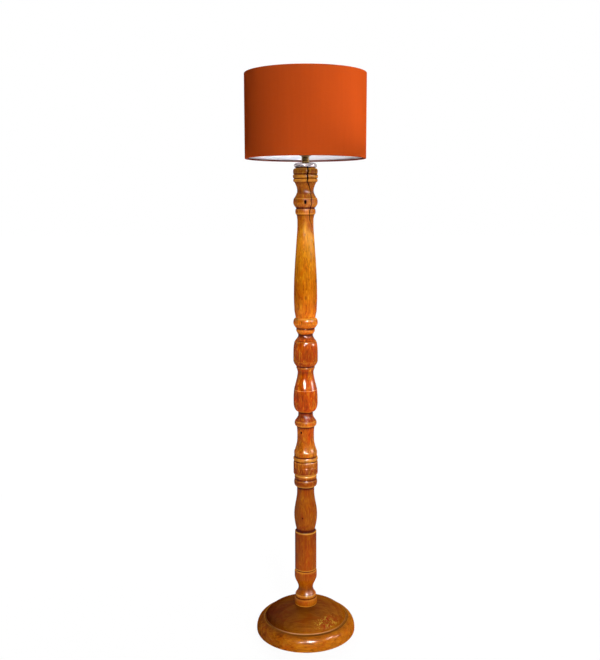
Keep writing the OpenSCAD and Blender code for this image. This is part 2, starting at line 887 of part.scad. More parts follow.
// Push bar of the switch, across the cup, with a button at each end
module switch_bar() {
    // Each button clears the cup by the same seat at its end of the travel
    bar_len = 2 * (cup_r + button_h + 5 * seat_gap) + bar_travel;
    color("black")
        translate([-bar_len / 2 - bar_travel / 2, 0, bar_z])
            rotate([0, 90, 0])
                union() {
                    cylinder(r = bar_r, h = bar_len);
                    cylinder(r = button_r, h = button_h);
                    translate([0, 0, bar_len - button_h])
                        cylinder(r = button_r, h = button_h);
                }
}

// Fluted ring that holds the shade down on the shoulder
module shade_retainer() {
    flute_r = 0.6;
    color("darkgoldenrod")
        translate([0, 0, retainer_z])
            difference() {
                cylinder(r = shoulder_r, h = retainer_h);
                translate([0, 0, -past])
                    cylinder(r = shell_r + running, h = retainer_h + 2 * past);
                for (k = [1:grip_count])
                    rotate([0, 0, k * 360 / grip_count])
                        translate([shoulder_r, 0, -past])
                            cylinder(r = flute_r, h = retainer_h + 2 * past);
            }
}

// Screw cap of the bulb, its thread as rounded ridges
module bulb_cap() {
    ridges = 6;
    root_r = bulb_cap_r - thread_depth;
    chamfer = 3;
    first_z = bulb_cap_h - (ridges + 0.5) * thread_pitch;
    thread = [for (k = [0:ridges - 1]) each [
        [root_r, first_z + k * thread_pitch],
        [bulb_cap_r, first_z + (k + 0.35) * thread_pitch],
        [bulb_cap_r, first_z + (k + 0.65) * thread_pitch]
    ]];
    color("silver")
        translate([0, 0, bulb_z])
            rotate_extrude()
                polygon(concat(
                    [[0, 0], [root_r - chamfer, 0], [root_r, chamfer]],
                    thread,
                    [[root_r, first_z + ridges * thread_pitch], [root_r, bulb_cap_h], [0, bulb_cap_h]]
                ));
}

module bulb_tip() {
    color("gray")
        translate([0, 0, bulb_z - bulb_tip_h])
            cylinder(r1 = bulb_tip_r / 2, r2 = bulb_tip_r, h = bulb_tip_h);
}

// Glass of the bulb: a neck that swells into a ball
module bulb_glass() {
    neck_h = 6;
    body = outline(
        [
            [neck_h, bulb_cap_r, straight],
            [bulb_glass_h - neck_h - bulb_r, bulb_r, ogee],
            [bulb_r, 0, crown]
        ],
        bulb_cap_r - thread_depth, glass_z
    );
    color("white")
        rotate_extrude()
            polygon(concat([[0, glass_z]], body));
}

// The spokes, from the lower ring of wire up to the centre ring, as cylinders of a radius
module spokes(r) {
    run = wire_ring_r - spoke_start_r;
    rise = fitter_z + fitter_t / 2 - shade_z - wire_up;
    for (k = [0:spoke_count - 1])
        rotate([0, 0, 90 + k * 360 / spoke_count])
            translate([wire_ring_r, 0, shade_z + wire_up])
                rotate([0, -atan2(run, rise), 0])
                    cylinder(r = r, h = sqrt(run * run + rise * rise));
}

// Fabric of the shade, rolled over the two rings, with a slit in the hem for each spoke
module shade_cover() {
    fold_r = hem_r - fabric_t;
    color("orangered")
        difference() {
            translate([0, 0, shade_z])
                rotate_extrude()
                    polygon([
                        [shade_r, 0],
                        [shade_r, shade_h],
                        [fold_r, shade_h],
                        [fold_r, shade_h - hem_h],
                        [hem_r, shade_h - hem_h],
                        [hem_r, shade_h - fabric_t],
                        [liner_r, shade_h - fabric_t],
                        [liner_r, fabric_t],
                        [hem_r, fabric_t],
                        [hem_r, hem_h],
                        [fold_r, hem_h],
                        [fold_r, 0]
                    ]);
            spokes(spoke_r + play);
        }
}

module shade_liner() {
    color("white")
        translate([0, 0, shade_z + fabric_t])
            ring(liner_r, liner_r - liner_t, shade_h - 2 * fabric_t);
}

// A ring of wire at a height
module wire_ring(z) {
    translate([0, 0, z])
        rotate_extrude()
            translate([wire_ring_r, 0])
                circle(r = wire_r);
}

module top_wire_ring() {
    color("white")
        wire_ring(shade_z + shade_h - wire_up);
}

// Lower ring with its spokes and the centre ring that sits on the lampholder
module bottom_fitter() {
    color("white")
        union() {
            wire_ring(shade_z + wire_up);
            spokes(spoke_r);
            translate([0, 0, fitter_z])
                ring(fitter_r, fitter_bore_r, fitter_t);
        }
}

felt_pad();
base();
cord_grommet();
base_washer();
base_nut();
bottom_length();
middle_length();
top_length();
bottom_tube();
middle_tube();
top_tube();
lower_coupling();
upper_coupling();
cap_washer();
vase_cap();
brass_neck();
holder_cup();
holder_shell();
insulator();
screw_shell();
centre_contact();
switch_bar();
shade_retainer();
bulb_cap();
bulb_tip();
bulb_glass();
shade_cover();
shade_liner();
top_wire_ring();
bottom_fitter();
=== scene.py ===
import math
from collections import defaultdict

import bmesh
import bpy
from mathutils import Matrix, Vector


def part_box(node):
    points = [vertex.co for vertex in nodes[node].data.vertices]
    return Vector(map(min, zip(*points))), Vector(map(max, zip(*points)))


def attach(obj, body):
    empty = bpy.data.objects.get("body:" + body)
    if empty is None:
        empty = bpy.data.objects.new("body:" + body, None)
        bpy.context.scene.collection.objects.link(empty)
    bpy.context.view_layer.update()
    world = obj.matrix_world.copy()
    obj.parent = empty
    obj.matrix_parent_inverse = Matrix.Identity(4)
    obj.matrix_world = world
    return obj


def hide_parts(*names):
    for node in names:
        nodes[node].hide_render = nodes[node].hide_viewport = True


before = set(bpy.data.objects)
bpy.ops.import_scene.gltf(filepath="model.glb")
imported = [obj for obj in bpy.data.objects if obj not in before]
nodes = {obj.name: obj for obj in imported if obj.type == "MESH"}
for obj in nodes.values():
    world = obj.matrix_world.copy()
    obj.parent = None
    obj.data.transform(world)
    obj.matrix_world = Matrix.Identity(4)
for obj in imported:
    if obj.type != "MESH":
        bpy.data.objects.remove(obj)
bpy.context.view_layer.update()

tau = 2 * math.pi
print("frame loaded:", len(nodes), "nodes")

# camera, fitted to the rims of the shade and base in the photograph
camera = {
    "place": (-0.0138, -2.1573, 1.1432),
    "tiltDown": 8.37,          # degrees
    "roll": 0.10,              # degrees
    "lens": 45.87,             # mm
    "sensor": 36,              # mm along the picture's long side
    "nearest": 0.01,           # metres
}
view = bpy.data.cameras.new("camera")
view.lens = camera["lens"]
view.sensor_width = camera["sensor"]
view.clip_start = camera["nearest"]
cameraObject = bpy.data.objects.new("camera", view)
cameraObject.location = camera["place"]
cameraObject.rotation_euler = (math.radians(90 - camera["tiltDown"]), math.radians(camera["roll"]), 0)
bpy.context.scene.collection.objects.link(cameraObject)
bpy.context.scene.camera = cameraObject
bpy.context.scene.view_settings.view_transform = "Standard"


# Shader tools

def rgb(*levels):              # a colour of 0 to 255 as light, by the sRGB curve
    shares = [level / 255 for level in levels]
    return tuple(s / 12.92 if s <= 0.04045 else ((s + 0.055) / 1.055) ** 2.4 for s in shares)


class Wire:                    # a socket that can be written into sums
    def __init__(self, tools, socket):
        self.tools, self.socket = tools, socket

    def __add__(self, other):
        return self.tools.maths("ADD", self, other)

    def __radd__(self, other):
        return self.tools.maths("ADD", other, self)

    def __sub__(self, other):
        return self.tools.maths("SUBTRACT", self, other)

    def __rsub__(self, other):
        return self.tools.maths("SUBTRACT", other, self)

    def __mul__(self, other):
        return self.tools.maths("MULTIPLY", self, other)

    def __rmul__(self, other):
        return self.tools.maths("MULTIPLY", other, self)

    def __pow__(self, other):
        return self.tools.maths("POWER", self, other)

    def __rpow__(self, other):
        return self.tools.maths("POWER", other, self)

    def __abs__(self):
        return self.tools.maths("ABSOLUTE", self)


class ShaderTools:             # adds nodes to a material's tree or the world's
    def __init__(self, tree):
        self.tree = tree

    def add(self, kind, settings=None, sockets=None, output=0):
        node = self.tree.nodes.new("ShaderNode" + kind)
        for name, value in (settings or {}).items():
            if name == "stops":
                ramp = node.color_ramp.elements
                while len(ramp) < len(value):
                    ramp.new(0.5)
                for element, (place, colour) in zip(ramp, value):
                    element.position = place
                    element.color = (*colour, 1)
            else:
                setattr(node, name, value)
        for name, value in (sockets or {}).items():
            self.put(node.inputs[name], value)
        return Wire(self, node.outputs[output])

    def put(self, target, value):
        if isinstance(value, Wire):
            self.tree.links.new(value.socket, target)
        elif target.type == "RGBA":
            target.default_value = (*value, 1)
        else:
            target.default_value = value

    def maths(self, operation, *values):
        return self.add("Math", {"operation": operation}, dict(enumerate(values)))

    def vectorMaths(self, operation, first, second, output="Vector"):
        return self.add("VectorMath", {"operation": operation}, {0: first, 1: second}, output)

    def mix(self, share, first, second, blend="MIX"):
        return self.add("Mix", {"data_type": "RGBA", "blend_type": blend}, {0: share, 6: first, 7: second}, 2)

    def toned(self, colour, share, tone):      # the colour times a tone, as far as the share says
        return self.mix(share, colour, self.mix(1.0, colour, rgb(*tone), "MULTIPLY"))

    def covered(self, colour, share, tone):    # the tone over the colour
        return self.mix(share, colour, rgb(*tone))

    def place(self):           # place on the piece, in metres
        return self.add("TexCoord", output="Object")

    def stretched(self, *shares):
        return self.vectorMaths("MULTIPLY", self.place(), shares)

    def parts(self, vector):   # its X, Y and Z
        node = self.add("SeparateXYZ", None, {"Vector": vector}).socket.node
        return [Wire(self, socket) for socket in node.outputs]

    def height(self):          # of the place on the piece
        return self.parts(self.place())[2]

    def radius(self):          # from the Z axis to the place on the piece
        x, y, z = self.parts(self.place())
        return (x * x + y * y) ** 0.5

    def noise(self, vector, scale, detail=3, roughness=0.5, distortion=0):
        return self.add("TexNoise", None, {"Vector": vector, "Scale": scale, "Detail": detail,
                                           "Roughness": roughness, "Distortion": distortion})

    def between(self, value, low, high, first=0, last=1):
        return self.add("MapRange", {"clamp": True}, {"Value": value, "From Min": low, "From Max": high,
                                                      "To Min": first, "To Max": last})

    def band(self, value, start, full, last, stop):    # 1 from full to last, 0 outside start and stop
        return self.between(value, start, full) * self.between(value, stop, last)

    def painted(self, name):   # a number kept on the mesh's points
        return self.add("Attribute", {"attribute_name": name}, output="Fac")

    def bump(self, height, strength, depth):
        return self.add("Bump", None, {"Height": height, "Strength": strength, "Distance": depth})

    def background(self):      # 1 for the camera's rays and those that gloss and glass send on, else 0
        kinds = ("Is Camera Ray", "Is Glossy Ray", "Is Transmission Ray")
        direct, glossy, through = (self.add("LightPath", output=kind) for kind in kinds)
        return self.maths("MINIMUM", direct + glossy + through, 1)


class Finish(ShaderTools):     # a material and its shader
    def __init__(self, name, **uniform):
        self.material = bpy.data.materials.new(name)
        self.material.use_nodes = True
        super().__init__(self.material.node_tree)
        self.shader = self.tree.nodes["Principled BSDF"]
        self.feed(**uniform)

    def feed(self, **sockets):
        for name, value in sockets.items():
            self.put(self.shader.inputs[name.replace("_", " ")], value)


# Mesh tools

cell = 1e-5                    # metres; points nearer than this are one point, or lie on the axis


def meshObject(name, points, faces):
    mesh = bpy.data.meshes.new(name)
    mesh.from_pydata(points, [], faces)
    thing = bpy.data.objects.new(name, mesh)
    bpy.context.scene.collection.objects.link(thing)
    return thing


def fixNormals(piece):
    work = bmesh.new()
    work.from_mesh(piece.data)
    bmesh.ops.recalc_face_normals(work, faces=work.faces)
    work.to_mesh(piece.data)
    work.free()


def sectionOf(nodeName):       # the outline of a turned node, as points (radius, height) in order
    mesh = nodes[nodeName].data
    fewest = 24                # a ring of the outline has at least this many points
    sameTurn = 1e-3            # radians; an edge within it runs along the outline
    onAxis = 1                 # cells
    found = {}
    keys, angles = [], []
    for vertex in mesh.vertices:
        x, y, z = vertex.co
        radius = math.hypot(x, y)
        i, j = round(radius / cell), round(z / cell)
        near = [(i + a, j + b) for a in (-1, 0, 1) for b in (-1, 0, 1) if (i + a, j + b) in found]
        key = near[0] if near else found.setdefault((i, j), (i, j))
        keys.append(key)
        angles.append(math.atan2(y, x) if radius > cell else None)
    seen = defaultdict(set)
    for key, angle in zip(keys, angles):
        seen[key].add(None if angle is None else round(angle / sameTurn))
    kept = {key for key, turns in seen.items() if len(turns) >= fewest or key[0] <= onAxis}
    links = {key: set() for key in kept}
    for edge in mesh.edges:
        a, b = edge.vertices
        if keys[a] == keys[b] or keys[a] not in kept or keys[b] not in kept:
            continue
        apart = 0 if None in (angles[a], angles[b]) else math.remainder(angles[a] - angles[b], tau)
        if abs(apart) < sameTurn:
            links[keys[a]].add(keys[b])
            links[keys[b]].add(keys[a])
    ends = [key for key in kept if len(links[key]) < 2 and key[0] > onAxis]
    while len(ends) > 1:       # where the mesh's triangles miss a straight stretch
        end = ends.pop()
        other = min(ends, key=lambda key: math.dist(key, end))
        ends.remove(other)
        links[end].add(other)
        links[other].add(end)
    axis = sorted(key for key in kept if key[0] <= onAxis)
    start = axis[0] if axis else min(kept, key=lambda key: (key[1], -key[0]))
    onward = sorted(links[start], key=lambda key: -key[0])[:1]
    path = [start]
    while onward:
        path.append(onward[0])
        onward = [key for key in links[path[-1]] if key not in path[-3:] and key != start]
        if path[-1][0] <= onAxis:
            break
    closed = not axis
    return [(i * cell, j * cell) for i, j in path], closed


def turnAt(before, here, after):
    a = math.atan2(here[1] - before[1], here[0] - before[0])
    b = math.atan2(after[1] - here[1], after[0] - here[0])
    return abs(math.remainder(b - a, tau))


def curveThrough(a, b, c, d, share):   # a point between b and c on a smooth curve
    return tuple(0.5 * (2 * q + (r - p) * share + (2 * p - 5 * q + 4 * r - s) * share ** 2
                        + (3 * q - p - 3 * r + s) * share ** 3) for p, q, r, s in zip(a, b, c, d))


def refined(path, closed, look):       # arcs between the points, and corners that are blunted
    count = len(path)
    corner = [not closed and i in (0, count - 1)
              or turnAt(path[i - 1], path[i], path[(i + 1) % count]) > math.radians(look["cornerAngle"])
              for i in range(count)]
    fine, isCorner = [], []
    for i in range(count if closed else count - 1):
        a, b, c, d = (path[(i + k) % count] for k in (-1, 0, 1, 2))
        if corner[i]:
            a = tuple(2 * q - r for q, r in zip(b, c))
        if corner[(i + 1) % count]:
            d = tuple(2 * r - q for q, r in zip(b, c))
        outside = max(b[0], c[0]) > look["boreRadius"]
        steps = max(1, math.ceil(math.dist(b, c) / look["rowStep"])) if outside else 1
        for k in range(steps):
            fine.append(curveThrough(a, b, c, d, k / steps))
            isCorner.append(corner[i] and k == 0)
    if not closed:
        fine.append(path[-1])
        isCorner.append(True)
    rows = []
    count = len(fine)
    for i, here in enumerate(fine):
        if not isCorner[i] or here[0] < look["boreRadius"] or (not closed and i in (0, count - 1)):
            rows.append(here)
            continue
        ends = []
        for other in (fine[i - 1], fine[(i + 1) % count]):
            length = math.dist(here, other)
            share = min(look["blunt"], look["bluntMost"] * length) / length
            ends.append(tuple(p + (q - p) * share for p, q in zip(here, other)))
        for k in range(look["bluntSteps"] + 1):
            share = k / look["bluntSteps"]
            rows.append(tuple((1 - share) ** 2 * p + 2 * share * (1 - share) * h + share ** 2 * q
                              for p, h, q in zip(ends[0], here, ends[1])))
    return rows


def bends(rows, closed, reach):        # how far each row lies under a chord over it, this far to each side
    count = len(rows)
    area = sum(a[0] * b[1] - b[0] * a[1] for a, b in zip(rows, rows[1:] + rows[:1]))
    outward = 1 if area > 0 else -1

    def along(i, left, step):          # the point of the outline this far along from row i
        while True:
            j = (i + step) % count if closed else min(max(i + step, 0), count - 1)
            length = math.dist(rows[i], rows[j])
            if length >= left or i == j:
                share = min(1, left / length) if length else 0
                return tuple(p + (q - p) * share for p, q in zip(rows[i], rows[j]))
            left -= length
            i = j

    under = []
    for i, here in enumerate(rows):
        a, b = along(i, reach, -1), along(i, reach, 1)
        cross = (b[0] - a[0]) * (here[1] - a[1]) - (b[1] - a[1]) * (here[0] - a[0])
        under.append(outward * cross / (math.dist(a, b) or 1))
    return under


lathe = {
    "cornerAngle": 32,         # degrees; a bend above it stays an edge
    "sharpAngle": 38,          # degrees; an edge above it isn't shaded smooth
    "boreRadius": 0.0001,      # inside it the outline is kept as it is
    "rowStep": 0.003,
    "blunt": 0.0003,           # how far from a corner its rounding starts
    "bluntMost": 0.45,         # and the most of the step beside the corner that it takes
    "bluntSteps": 4,
    # reach of the chord, and the depths under it at which each begins and is full
    "cut": (0.0042, 0.0003, 0.0014),
    "hollow": (0.0085, 0.0003, 0.0028),
    "crest": (0.0036, -0.0003, -0.0014),
    "columns": 96,
}


# turns an outline round Z; worked(turn, radius, height) says how deep and how dark a mark is there
def turned(name, nodeName, finish, body, look=None, turns=None, worked=None):
    look = {**lathe, **(look or {})}
    path, closed = sectionOf(nodeName)
    rows = refined(path, closed, look)
    wear = {}
    for attribute in ("cut", "hollow", "crest"):
        reach, start, full = look[attribute]
        depths = bends(rows, closed, reach)
        wear[attribute] = [min(1, max(0, (depth - start) / (full - start))) for depth in depths]
    turns = turns or [tau * k / look["columns"] for k in range(look["columns"])]
    points, faces, mark, starts, rowOf = [], [], [], [], []
    for row, (radius, height) in enumerate(rows):
        starts.append(len(points))
        if radius < cell:
            points.append((0, 0, height))
            rowOf.append(row)
            mark.append(0)
            continue
        for turn in turns:
            sunk, darkness = worked(turn, radius, height) if worked else (0, 0)
            reach = radius - sunk
            points.append((reach * math.sin(turn), -reach * math.cos(turn), height))
            rowOf.append(row)
            mark.append(darkness)
    around = len(turns)
    for i in range(len(rows) if closed else len(rows) - 1):
        j = (i + 1) % len(rows)
        low, high = starts[i], starts[j]
        for k in range(around):
            n = (k + 1) % around
            if rows[i][0] < cell:
                faces.append((low, high + k, high + n))
            elif rows[j][0] < cell:
                faces.append((low + n, low + k, high))
            else:
                faces.append((low + n, low + k, high + k, high + n))
    piece = meshObject(name, points, faces)
    mesh = piece.data
    mesh.validate()
    mesh.polygons.foreach_set("use_smooth", [True] * len(mesh.polygons))
    mesh.set_sharp_from_angle(angle=math.radians(look["sharpAngle"]))
    mesh.materials.append(finish.material)
    fixNormals(piece)
    painted = {attribute: [share[row] for row in rowOf] for attribute, share in wear.items()}
    for attribute, values in {**painted, "mark": mark}.items():
        mesh.attributes.new(attribute, "FLOAT", "POINT").data.foreach_set("value", values)
    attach(piece, body)
    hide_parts(nodeName)
    return piece


# Wood

columnLook = {
    "grain": 2,                        # the axis it runs along: 0 is X, 2 is Z
    "pith": (0.052, 0.085, 0),         # where the tree's middle was, beside the column
    # each pattern: its stretch along the grain, scale, detail, roughness and distortion
    "streaks": (0.07, 420, 4, 0.6, 0.3),
    "pores": (0.035, 1500, 2),
    "clouds": (0.5, 42, 4, 0.6, 0.7),
    "flecks": (0.35, 120, 4, 0.65, 1.2),
    "rings": {"stretch": 0.22, "gap": 0.0042, "distortion": 5.5, "detail": 2.5, "detailScale": 0.35,
              "detailRoughness": 0.55, "share": 0.45, "tone": (222, 186, 90)},
    # height in metres and the varnished colour there, from the foot to the top; from 1.16 m up they are
    # darkened, partly as painted shadow of the lampshade
    "tones": [(0.08, (186, 104, 14)), (0.19, (162, 77, 4)), (0.28, (145, 68, 0)), (0.37, (158, 83, 2)),
              (0.445, (144, 57, 2)), (0.49, (200, 115, 22)), (0.56, (193, 84, 4)), (0.63, (191, 75, 2)),
              (0.69, (206, 87, 2)), (0.75, (166, 66, 2)), (0.80, (201, 88, 6)), (0.86, (228, 125, 22)),
              (0.93, (199, 113, 10)), (1.00, (212, 133, 16)), (1.06, (235, 159, 32)), (1.10, (194, 107, 10)),
              (1.16, (178, 98, 8)), (1.20, (164, 92, 12)), (1.24, (156, 88, 14))],
    "highest": 1.3,                    # where the scale of the tones ends
    "wander": 0.05,                    # how far the tones stray up and down
    # pattern at which each begins and is full, its share, and its colour
    "warm": (0.46, 0.66, 0.6, (255, 190, 50)),
    "pale": (0.52, 0.70, 0.5, (248, 182, 36)),
    "deep": (0.46, 0.34, 0.6, (112, 52, 4)),
    "streak": (0.42, 0.68, 0.55, (186, 144, 60)),
    "pore": (0.6, 0.72, 0.35, (70, 26, 6)),
    "stainAndShade": (0.1, 0.8, 0.92, (70, 22, 2)),     # painted shade, with some stain, in the cuts; its tone is also the painted shadow in the dome's groove
    "plain": (0.41, 0.47, 0.25),       # heights between which the flecks begin, and their share below
    "paintedShade": (0.8, (134, 88, 58)),     # painted shade: multiplies the colour in the hollows, and on the dome's left side
    "crest": (0.6, (250, 176, 60)),    # a painted highlight on the crests, with their wear
    "crestFade": (1.185, 1.205, 0.6),  # less of it on the beads under the cap
    "dark": (10, 5, 3),                # knots and the check: their dark wood, with painted shade inside the holes and the check
    # painted highlight on the ridge round the vase: height, half widths at which it begins and is full, share
    # and tone
    "arris": (0.6690, 0.0008, 0.00024, 0.8, (250, 176, 96)),
    "coat": 0.28,
    "coatRoughness": 0.05,
    "coatIor": 1.35,
    "fade": (0.38, 0.8, 0.04),         # how far the surface turns away while the gloss fades, and what stays
    "worn": (0.885, 0.90, 1.115, 1.13),         # heights between which the varnish is duller
    "wornCoat": 0.3,
    "roughness": (0.2, 0.8, 0.34, 0.52),        # of the wood under the varnish, by its streaks
    "ripples": (0.35, 95, 2),          # of the varnish: stretch along Z, scale and detail
    "relief": {"ripples": 0.5, "pores": 0.08, "streaks": 0.12, "strength": 0.35, "depth": 0.0012},
}
baseLook = {
    **columnLook,
    "grain": 0,
    "pith": (0, 0.05, -0.16),
    "flecks": (0.35, 70, 4, 0.65, 1.2),
    "rings": {**columnLook["rings"], "gap": 0.011, "share": 0.4, "tone": (196, 156, 104)},
    "tones": [(0.0, (182, 108, 12)), (0.030, (198, 114, 14)), (0.0385, (184, 106, 12)),
              (0.0420, (158, 92, 12)), (0.060, (154, 88, 16)), (0.077, (126, 70, 12))],
    "wander": 0.003,
    "pale": (0.52, 0.70, 0.45, (206, 142, 40)),
    "deep": (0.46, 0.34, 0.6, (84, 40, 4)),
    "plain": (0.044, 0.036, 0.35),     # the dome is plainer than the rim
    "crest": (0.2, (250, 176, 60)),
    "coat": 0.13,
    "coatRoughness": 0.2,
    "fade": (0.35, 0.7, 0.04),
    "relief": {**columnLook["relief"], "ripples": 0.12},
}
domeLook = {                           # turns are in radians, from the front towards the right
    "paintedShadeLeft": (0.0, -0.11),          # painted shade, darker to the left, from one X to another
    "darkRim": (0.036, 0.044, 0.45),   # and less so on the rim, below these heights
    "figureTurns": (0.20, 0.45, 0.80, 1.10),    # where the red and gold figure begins, is full and ends
    "figureRadii": (0.076, 0.084, 0.102, 0.106),
    "splashes": (105, 4, 0.7, 1.0),    # its pattern: scale, detail, roughness and distortion
    "red": (0.47, 0.60, 0.8, (150, 34, 10)),
    "gold": (0.45, 0.37, 0.85, (226, 178, 60)),
    "lip": 0.1086,                     # radius of the dome's edge, where a highlight is painted
    "lipHalf": 0.0008,
    "lipHighlight": (0.7, (240, 172, 112)),
    "lipSides": (0.9, 0.3, 0.3, 1),    # from this turn to that, its share grows from this to that
    "groove": 0.1130,                  # radius of the painted shadow in the groove beside it
    "grooveHalf": 0.0042,
    "grooveShare": 0.92,
    "grooveNarrow": (0.4, 1.4, 1, 2),  # how much narrower it gets, from one turn to another
    "grooveSides": (-0.5, 0.0, 0.45, 1),        # it is darker to the right of the front
    "grooveFrom": (0.1092, 0.1098),    # radii between which it begins
    "grooveAbove": (0.030, 0.034),     # heights, so that the rim's underside has none
    "dull": (0.09991, 0.10534, 0.1105, 0.1115),  # radii between which the varnish is worn off
}


def grainOf(wood, look):               # the patterns that run along the grain
    def along(share):
        return wood.stretched(*(share if axis == look["grain"] else 1 for axis in range(3)))

    patterns = {}
    for name in ("streaks", "pores", "clouds", "flecks"):
        stretch, *rest = look[name]
        patterns[name] = wood.noise(along(stretch), *rest)
    rings = look["rings"]
    aside = wood.vectorMaths("SUBTRACT", along(rings["stretch"]), look["pith"])
    kind = {"wave_type": "RINGS", "rings_direction": "XYZ"[look["grain"]], "wave_profile": "SAW"}
    scale = tau / 20 / rings["gap"]    # at a scale of 1 the rings are tau / 20 apart
    patterns["rings"] = wood.add("TexWave", kind, {
        "Vector": aside, "Scale": scale, "Distortion": rings["distortion"], "Detail": rings["detail"],
        "Detail Scale": rings["detailScale"], "Detail Roughness": rings["detailRoughness"]})
    return patterns


# lays a tone where the pattern is between the values at which it begins and is full
def layered(wood, colour, pattern, layer, share=1, multiply=False):
    start, full, most, tone = layer
    laid = wood.between(pattern, start, full, 0, most) * share
    return wood.toned(colour, laid, tone) if multiply else wood.covered(colour, laid, tone)


def varnishedColour(wood, look, grain, height):
    lift = height + wood.between(grain["clouds"], 0, 1, -look["wander"], look["wander"])
    stops = [(level / look["highest"], rgb(*tone)) for level, tone in look["tones"]]
    colour = wood.add("ValToRGB", {"stops": stops}, {"Fac": lift * (1 / look["highest"])})
    start, full, least = look["plain"]
    plain = wood.between(height, start, full, least, 1)
    colour = layered(wood, colour, grain["clouds"], look["warm"], multiply=True)
    colour = layered(wood, colour, grain["flecks"], look["pale"], plain)
    colour = layered(wood, colour, grain["flecks"], look["deep"], plain)
    colour = wood.toned(colour, grain["rings"] * look["rings"]["share"], look["rings"]["tone"])
    colour = layered(wood, colour, grain["streaks"], look["streak"], multiply=True)
    return layered(wood, colour, grain["pores"], look["pore"])


def domeColour(wood, look, dome, colour):      # its figure, painted shade on its left side, a painted highlight on its edge and painted shadow in its groove
    x, y, height = wood.parts(wood.place())
    radius = wood.radius()
    turn = wood.maths("ARCTAN2", x, y * -1)
    area = wood.band(turn, *dome["figureTurns"]) * wood.band(radius, *dome["figureRadii"])
    splashes = wood.noise(wood.place(), *dome["splashes"])
    colour = layered(wood, colour, splashes, dome["red"], area)
    colour = layered(wood, colour, splashes, dome["gold"], area)
    # painted shade on the dome's left side, less of it on the rim
    low, high, onRim = dome["darkRim"]
    side = wood.between(x, *dome["paintedShadeLeft"]) * wood.between(height, low, high, onRim, 1)
    colour = wood.toned(colour, side, look["paintedShade"][1])
    # a painted highlight along the dome's edge
    paintedHighlight = wood.between(abs(radius - dome["lip"]), dome["lipHalf"], 0)
    share, tone = dome["lipHighlight"]
    colour = wood.covered(colour, paintedHighlight * wood.between(abs(turn), *dome["lipSides"]) * share, tone)
    # painted shadow in the groove beside the edge
    off = abs(radius - dome["groove"]) * wood.between(abs(turn), *dome["grooveNarrow"])
    grooveShadow = wood.between(off, dome["grooveHalf"], dome["grooveHalf"] / 2)
    grooveShadow = grooveShadow * wood.between(turn, *dome["grooveSides"]) * wood.between(radius, *dome["grooveFrom"])
    grooveShadow = grooveShadow * wood.between(height, *dome["grooveAbove"]) * dome["grooveShare"]
    return wood.covered(colour, grooveShadow, look["stainAndShade"][-1]), wood.band(radius, *dome["dull"])


def woodFinish(name, look, dome=None):
    wood = Finish(name, Coat_Roughness=look["coatRoughness"], Coat_IOR=look["coatIor"],
                  Specular_IOR_Level=0.0)
    grain = grainOf(wood, look)
    height = wood.height()
    colour = varnishedColour(wood, look, grain, height)
    left = 1 - wood.band(height, *look["worn"]) * (1 - look["wornCoat"])       # of the varnish
    if dome:
        colour, dull = domeColour(wood, look, dome, colour)
        left = left * (1 - dull)
    # a painted highlight on the ridge round the vase
    level, half, core, share, tone = look["arris"]
    colour = wood.covered(colour, wood.between(abs(height - level), half, core) * share, tone)
    # a painted highlight, with some wear, on the crests of the beads
    start, full, least = look["crestFade"]
    share, tone = look["crest"]
    paintedHighlight = wood.painted("crest") * wood.between(height, start, full, 1, least)
    colour = wood.covered(colour, paintedHighlight * share, tone)
    # painted shade in the hollows
    share, tone = look["paintedShade"]
    colour = wood.toned(colour, wood.painted("hollow") * share, tone)
    # painted shade, with some stain, in the cuts
    colour = layered(wood, colour, wood.painted("cut"), look["stainAndShade"])
    # painted shade inside the check and the knot holes, over the knots' dark wood
    mark = wood.painted("mark")
    colour = wood.covered(colour, mark, look["dark"])
    # the gloss fades where the surface turns away, so that the edges keep their colour
    facing = wood.add("LayerWeight", None, {"Blend": 0.5}, output="Facing")
    start, full, least = look["fade"]
    coat = wood.between(facing, start, full, look["coat"], least * look["coat"]) * (1 - mark)
    stretch, *rest = look["ripples"]
    ripples = wood.noise(wood.stretched(1, 1, stretch), *rest)
    relief = look["relief"]
    surface = (ripples * relief["ripples"] + grain["pores"] * relief["pores"]
               + grain["streaks"] * relief["streaks"])
    wood.feed(Base_Color=colour, Roughness=wood.between(grain["streaks"], *look["roughness"]),
              Coat_Weight=coat * left, Normal=wood.bump(surface, relief["strength"], relief["depth"]))
    return wood


columnWood = woodFinish("varnished_wood", columnLook)
baseWood = woodFinish("base_wood", baseLook, domeLook)

check = {                      # the drying crack down the front of the top length
    # height and turn from the front towards the right, in metres and degrees
    "route": [(1.2380, 12.6), (1.2349, 12.6), (1.2202, 8.9), (1.2055, 9.3), (1.1973, 17.6), (1.1878, 32.4),
              (1.1752, 38.4), (1.1625, 29.5), (1.1469, 29.6), (1.1372, 33.0), (1.1310, 22.4), (1.1114, 30.8),
              (1.1006, 42.8), (1.0912, 60.1), (1.0861, 71.4), (1.074, 84)],
    "wiggles": [(1.1, 390), (0.5, 1130)],      # degrees, and radians for each metre of height
    "halfWidth": 0.0016,
    "wideFrom": (1.19, 1.215),                 # heights between which it opens to twice as wide
    "ending": 0.03,            # length over which it closes at its foot
    "narrowest": 0.35,
    "depth": 0.0022,
    "slope": 0.7,              # below 1 its sides are steeper at the edge
    "darkness": 1.6,           # above 1 it is dark nearly to the edge
}
knots = [                      # height, turn, half width, half height, depth, darkness
    (1.1538, -1.0, 0.0034, 0.0054, 0.0030, 1),
    (0.5565, -32.8, 0.0022, 0.0034, 0.0010, 1),
    (0.3256, -16.2, 0.0016, 0.0024, 0.0008, 1),
    (0.9124, 0.5, 0.0026, 0.0050, 0.0002, 0.45),
    (0.9540, 72, 0.0040, 0.0046, 0.0016, 1),
]
knotEdge = (1.25, 0.80)        # sizes of the knot at which it begins and is full


